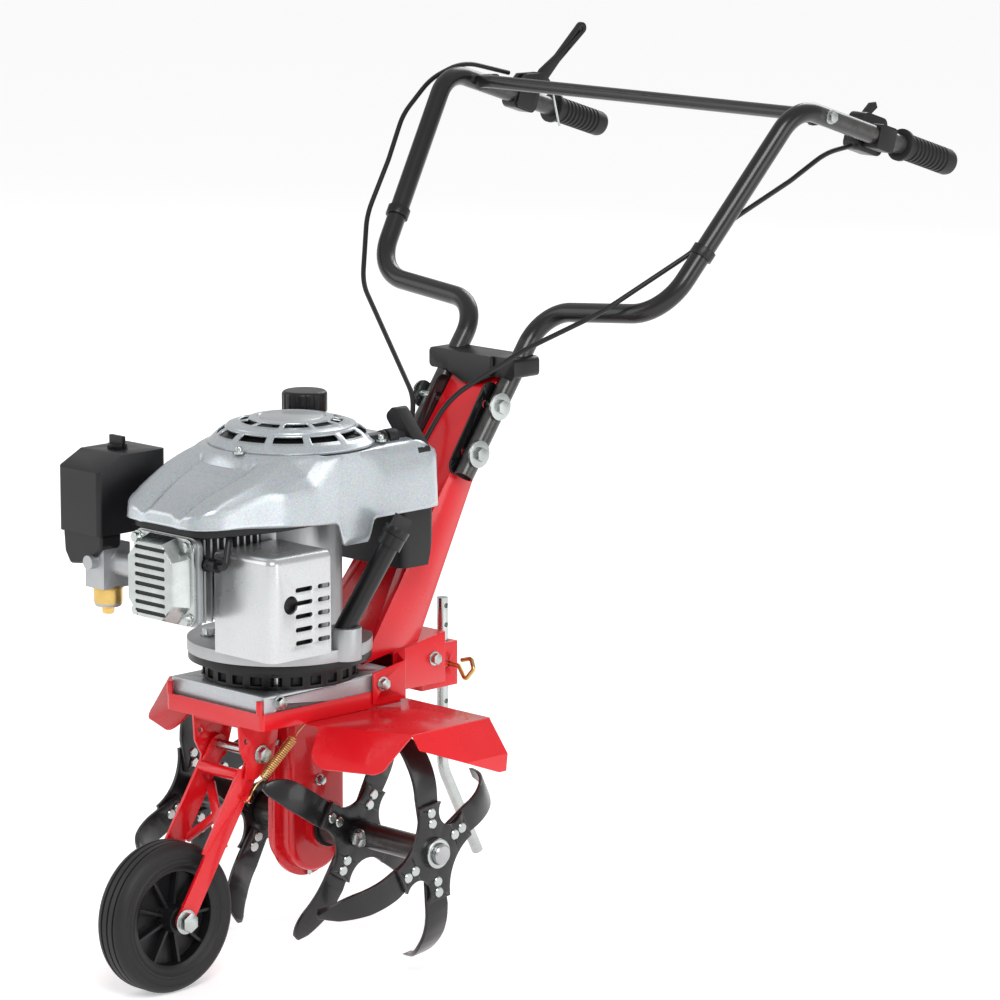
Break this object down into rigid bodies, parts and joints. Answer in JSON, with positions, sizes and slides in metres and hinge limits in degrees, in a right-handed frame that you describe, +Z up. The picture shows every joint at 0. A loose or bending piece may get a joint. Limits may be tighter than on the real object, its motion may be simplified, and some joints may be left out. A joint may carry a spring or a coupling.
{
  "type": "motor tiller",
  "caption": "Walk-behind petrol tiller with curved tine stars, a swing-up front transport wheel, a vertical shaft engine, a rear depth bar and a bent tube handlebar with clutch lever.",
  "frame": {"origin": "centre of the bounding box's footprint, on the ground plane", "axes": "+X to the machine's left side along the tine axle, -Y to the front, +Z up"},
  "size_m": [0.538, 0.9482, 0.88],
  "materials": {
    "black_paint": "gloss",
    "brass": "machined",
    "cable_sleeve": "smooth",
    "case_black": "satin",
    "cast_alloy": "cast",
    "cover_plastic": "textured",
    "grey_paint": "satin",
    "grip": "ribbed",
    "red_paint": "gloss",
    "rubber": "matt",
    "silver_paint": "satin",
    "silver_plastic": "metallic",
    "steel": "machined",
    "tank_plastic": "moulded",
    "tyre": "moulded",
    "yellow_zinc": "yellow zinc plated",
    "zinc": "zinc plated"
  },
  "bodies": {
    "chassis": {"frame_tray": "red_paint", "engine_plate": "grey_paint", "rear_box": "red_paint", "column": "red_paint", "mudguards": "red_paint", "fork_pivot": "zinc", "gearcase_halves": "red_paint", "axle_seals": "rubber", "frame_bolts": "zinc", "engine_base": "case_black", "crankcase": "cast_alloy", "cylinder": "cast_alloy", "rocker_cover": "zinc", "engine_cover": "silver_plastic", "fuel_tank": "tank_plastic", "starter_dome": "silver_plastic", "muffler_guard": "silver_paint", "muffler": "steel", "spark_plug": "cable_sleeve", "carburettor": "cast_alloy", "air_filter_box": "cover_plastic", "oil_filler": "cover_plastic", "handlebar_left": "black_paint", "handlebar_right": "black_paint", "handle_grips": "grip", "crossbar": "black_paint", "side_plates": "black_paint", "handle_bolts": "zinc", "handle_clips": "cover_plastic", "lever_bracket": "cover_plastic", "throttle_box": "cover_plastic", "clutch_cable": "cable_sleeve", "throttle_cable": "cable_sleeve"},
    "rotor": {"tine_axle": "steel", "worm_wheel": "brass", "rotor_tubes": "black_paint", "star_plates": "black_paint", "tine_blades": "black_paint", "tine_rivets": "zinc", "hub_fixings": "zinc"},
    "worm": {"worm_shaft": "steel"},
    "clutch_disc": {"clutch_disc": "steel"},
    "fork": {"wheel_fork": "red_paint", "wheel_bolt": "zinc", "fork_spring": "yellow_zinc"},
    "wheel": {"wheel_tyre": "tyre", "wheel_hub": "cover_plastic"},
    "drag_bar": {"drag_bar": "zinc"},
    "drag_bar_pin": {"drag_bar_pin": "yellow_zinc"},
    "crank": {"crankshaft": "steel", "flywheel": "cast_alloy"},
    "piston": {"piston": "cast_alloy"},
    "starter_pulley": {"starter_pulley": "cover_plastic"},
    "starter_grip": {"starter_grip": "grip"},
    "fuel_cap": {"fuel_cap": "cover_plastic"},
    "air_filter_knob": {"air_filter_knob": "cover_plastic"},
    "dipstick": {"dipstick": "cover_plastic"},
    "clutch_lever": {"clutch_lever": "case_black"},
    "lever_latch": {"lever_latch": "zinc"},
    "throttle_lever": {"throttle_lever": "case_black"}
  },
  "joints": [
    {"name": "rotor_spin", "type": "hinge", "parent": "chassis", "child": "rotor", "pos_m": [0, -0.205, 0.1365], "axis": [1, 0, 0], "continuous": true},
    {"name": "worm_spin", "type": "hinge", "parent": "chassis", "child": "worm", "pos_m": [0, -0.239, 0.2], "axis": [0, 0, 1], "continuous": true},
    {"name": "clutch_disc_lift", "type": "slide", "parent": "worm", "child": "clutch_disc", "axis": [0, 0, 1], "range_m": [0, 0.003]},
    {"name": "fork_swing", "type": "hinge", "parent": "chassis", "child": "fork", "pos_m": [0, -0.302, 0.227], "axis": [1, 0, 0], "range_deg": [-65, 0], "deforming": ["fork_spring"]},
    {"name": "wheel_spin", "type": "hinge", "parent": "fork", "child": "wheel", "pos_m": [0, -0.399, 0.075], "axis": [1, 0, 0], "continuous": true},
    {"name": "drag_bar_height", "type": "slide", "parent": "chassis", "child": "drag_bar", "axis": [0, 0, 1], "range_m": [-0.06, 0.06]},
    {"name": "pin_pull", "type": "slide", "parent": "chassis", "child": "drag_bar_pin", "axis": [1, 0, 0], "range_m": [0, 0.05]},
    {"name": "crank_spin", "type": "hinge", "parent": "chassis", "child": "crank", "pos_m": [0, -0.239, 0.4], "axis": [0, 0, 1], "continuous": true},
    {"name": "piston_stroke", "type": "slide", "parent": "chassis", "child": "piston", "axis": [0, 1, 0], "range_m": [-0.02, 0.02]},
    {"name": "starter_pull", "type": "slide", "parent": "chassis", "child": "starter_grip", "axis": [0, 1, 0], "range_m": [0, 0.08], "stiffness_N_per_m": 20, "springref_m": -0.3},
    {"name": "starter_pulley_spin", "type": "hinge", "parent": "chassis", "child": "starter_pulley", "pos_m": [0, -0.239, 0.528], "axis": [0, 0, 1], "range_deg": [0, 80]},
    {"name": "fuel_cap_turn", "type": "hinge", "parent": "chassis", "child": "fuel_cap", "pos_m": [-0.064, -0.151, 0.54], "axis": [0, 0, 1], "range_deg": [0, 90]},
    {"name": "filter_knob_turn", "type": "hinge", "parent": "chassis", "child": "air_filter_knob", "pos_m": [-0.126, -0.345, 0.52], "axis": [0, 0, 1], "range_deg": [0, 180]},
    {"name": "dipstick_pull", "type": "slide", "parent": "chassis", "child": "dipstick", "axis": [0.1983, 0.4659, 0.8623], "range_m": [0, 0.07]},
    {"name": "clutch_lever_squeeze", "type": "hinge", "parent": "chassis", "child": "clutch_lever", "pos_m": [-0.252, 0.37167, 0.82094], "axis": [1, 0, 0], "range_deg": [-48, 0], "stiffness_Nm_per_rad": 0.5, "springref_deg": 20.05},
    {"name": "latch_swing", "type": "hinge", "parent": "chassis", "child": "lever_latch", "pos_m": [-0.252, 0.35367, 0.81732], "axis": [1, 0, 0], "range_deg": [0, 35]},
    {"name": "throttle_turn", "type": "hinge", "parent": "chassis", "child": "throttle_lever", "pos_m": [0.221, 0.36293, 0.80695], "axis": [1, 0, 0], "range_deg": [-35, 35]}
  ],
  "couplings": [
    {"joint": "worm_spin", "follows": "rotor_spin", "ratio": 24},
    {"joint": "clutch_disc_lift", "follows": "clutch_lever_squeeze", "m_per_rad": -0.003581},
    {"joint": "starter_pulley_spin", "follows": "starter_pull", "rad_per_m": 17}
  ]
}
